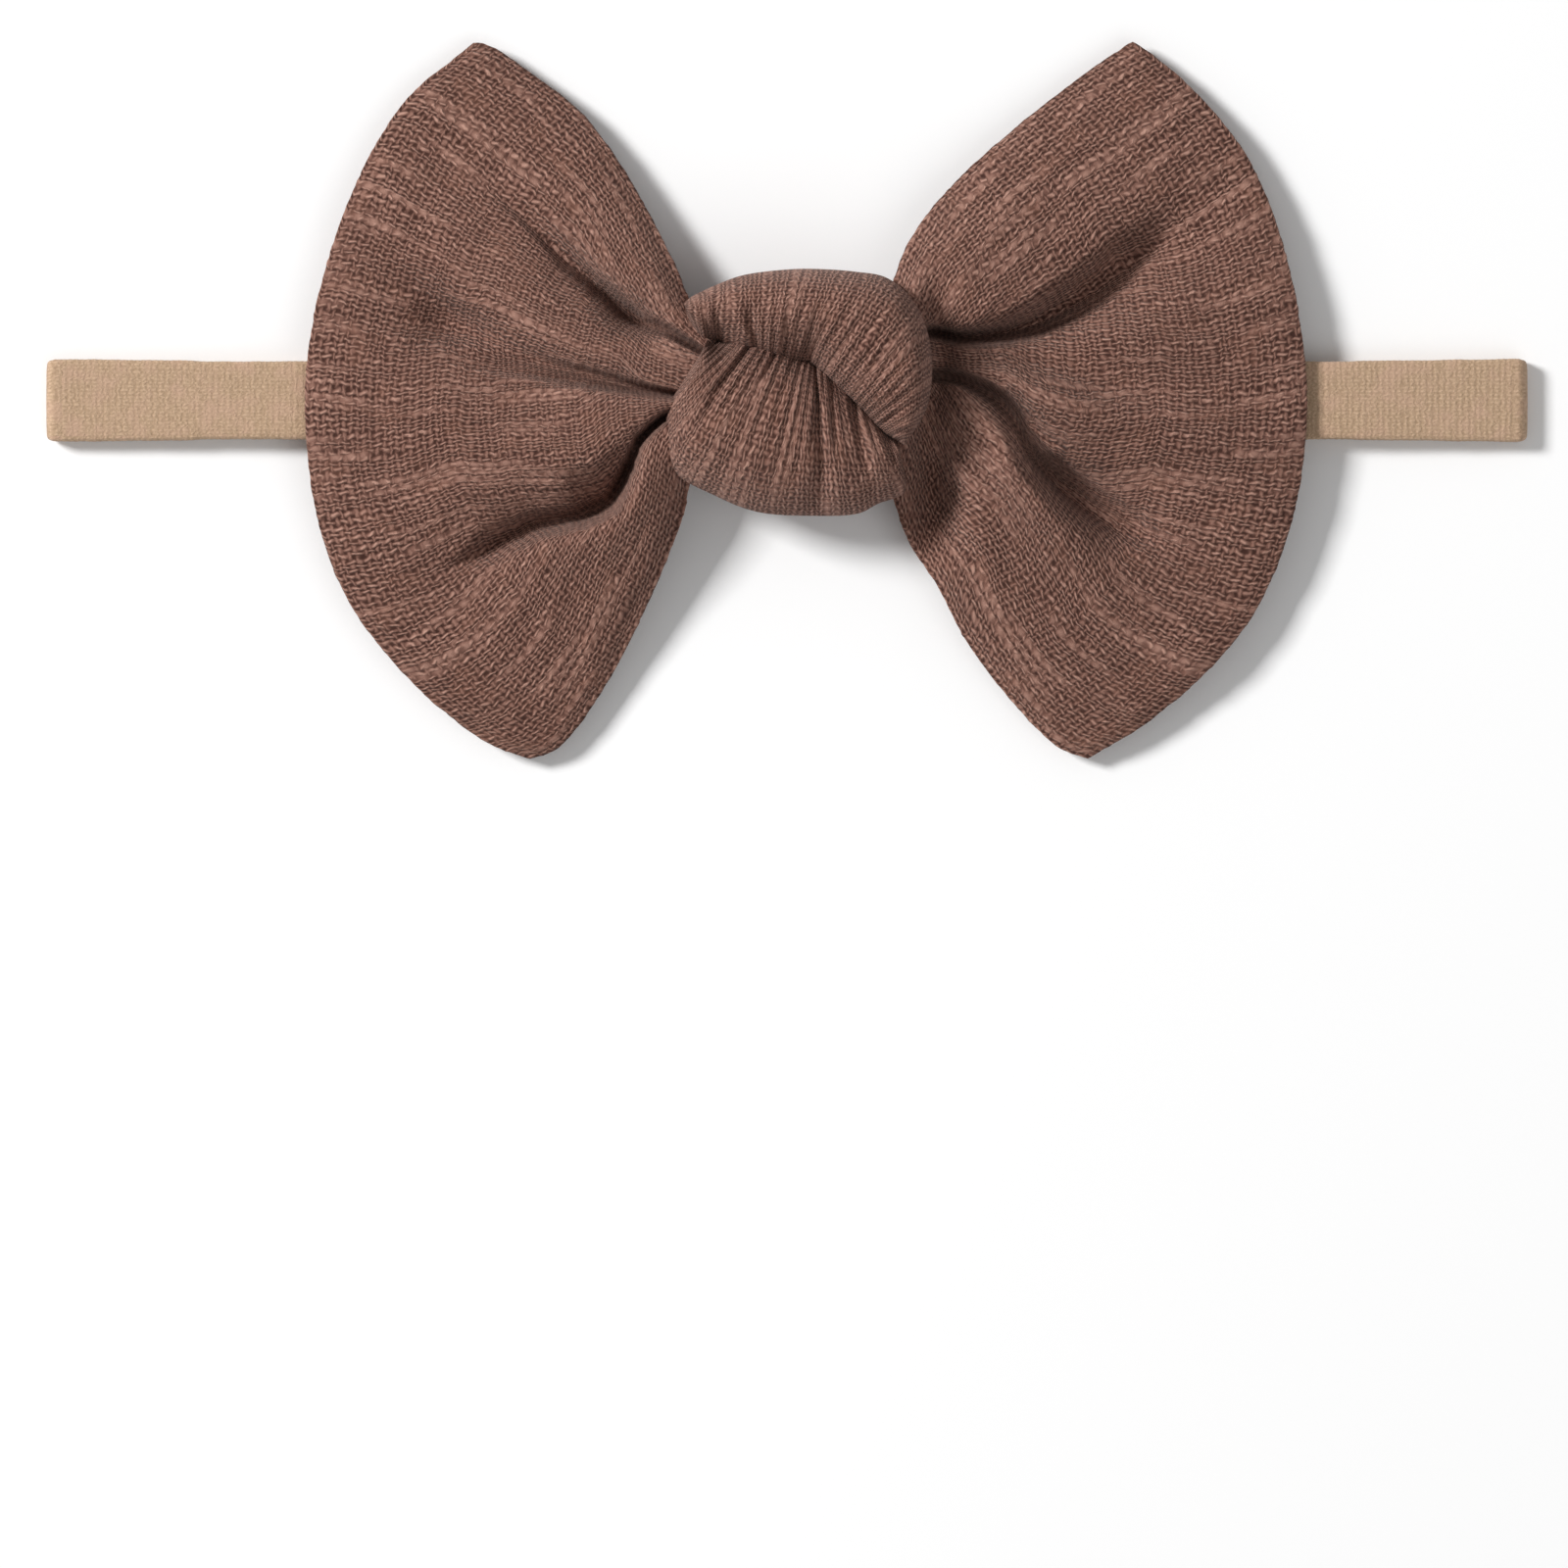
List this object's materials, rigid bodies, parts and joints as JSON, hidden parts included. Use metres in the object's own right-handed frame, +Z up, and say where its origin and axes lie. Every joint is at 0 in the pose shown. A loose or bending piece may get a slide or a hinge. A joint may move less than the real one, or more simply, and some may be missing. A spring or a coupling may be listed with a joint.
{
  "type": "bow headband",
  "caption": "Small child's headband: a narrow stretch nylon loop carrying a knotted bow of crinkle cotton, lying flat.",
  "frame": {"origin": "on the table, under the middle of the flat loop's box", "axes": "+X along the flat loop, from its left crease to its right one; +Y across it; +Z up, out of the bow's face"},
  "size_m": [0.1506, 0.0732, 0.0165],
  "materials": {
    "nylon": "finely ribbed stretch knit, beige",
    "gauze": "crinkled slub cotton gauze, warm brown",
    "thread": "sewing thread, pale beige"
  },
  "bodies": {
    "rear_center": {"band_rear_center": "nylon"},
    "rear_left": {"band_rear_left": "nylon", "band_left_fold": "nylon"},
    "rear_right": {"band_rear_right": "nylon", "band_right_fold": "nylon"},
    "front_left": {"band_front_left": "nylon"},
    "front_right": {"band_front_right": "nylon"},
    "knot": {"band_center": "nylon", "band_lapped_end": "nylon", "band_join_stitch": "thread", "knot_back_wrap": "gauze", "knot_over_lobe": "gauze", "knot_under_lobe": "gauze", "left_neck": "gauze", "right_neck": "gauze"},
    "left_wing": {"left_wing_front_ply": "gauze", "left_wing_back_ply": "gauze", "left_wing_seam_allowance": "gauze"},
    "right_wing": {"right_wing_front_ply": "gauze", "right_wing_back_ply": "gauze", "right_wing_seam_allowance": "gauze"}
  },
  "joints": [
    {"name": "loop_open", "type": "hinge", "parent": "rear_center", "child": "rear_left", "pos_m": [-0.015, 0, 0.001], "axis": [0, 1, 0], "range_deg": [0, 50]},
    {"name": "left_crease", "type": "hinge", "parent": "rear_left", "child": "front_left", "pos_m": [-0.0741, 0, 0.0012], "axis": [0, -1, 0], "range_deg": [0, 100], "deforming": ["band_left_fold"]},
    {"name": "knot_level", "type": "hinge", "parent": "front_left", "child": "knot", "pos_m": [-0.015, 0, 0.0014], "axis": [0, 1, 0], "range_deg": [0, 50]},
    {"name": "right_level", "type": "hinge", "parent": "knot", "child": "front_right", "pos_m": [0.015, 0, 0.0014], "axis": [0, 1, 0], "range_deg": [0, 50]},
    {"name": "right_crease", "type": "hinge", "parent": "front_right", "child": "rear_right", "pos_m": [0.0741, 0, 0.0012], "axis": [0, -1, 0], "range_deg": [0, 100], "deforming": ["band_right_fold"]},
    {"name": "left_wing_fold", "type": "hinge", "parent": "knot", "child": "left_wing", "pos_m": [-0.0141, 0.001, 0.0072], "axis": [0, 1, 0], "range_deg": [0, 60], "deforming": ["left_neck"]},
    {"name": "right_wing_fold", "type": "hinge", "parent": "knot", "child": "right_wing", "pos_m": [0.0165, 0.001, 0.0072], "axis": [0, -1, 0], "range_deg": [0, 60], "deforming": ["right_neck"]}
  ],
  "couplings": [
    {"joint": "left_crease", "follows": "loop_open", "ratio": 2},
    {"joint": "knot_level", "follows": "loop_open", "ratio": 1},
    {"joint": "right_level", "follows": "loop_open", "ratio": 1},
    {"joint": "right_crease", "follows": "loop_open", "ratio": 2}
  ]
}
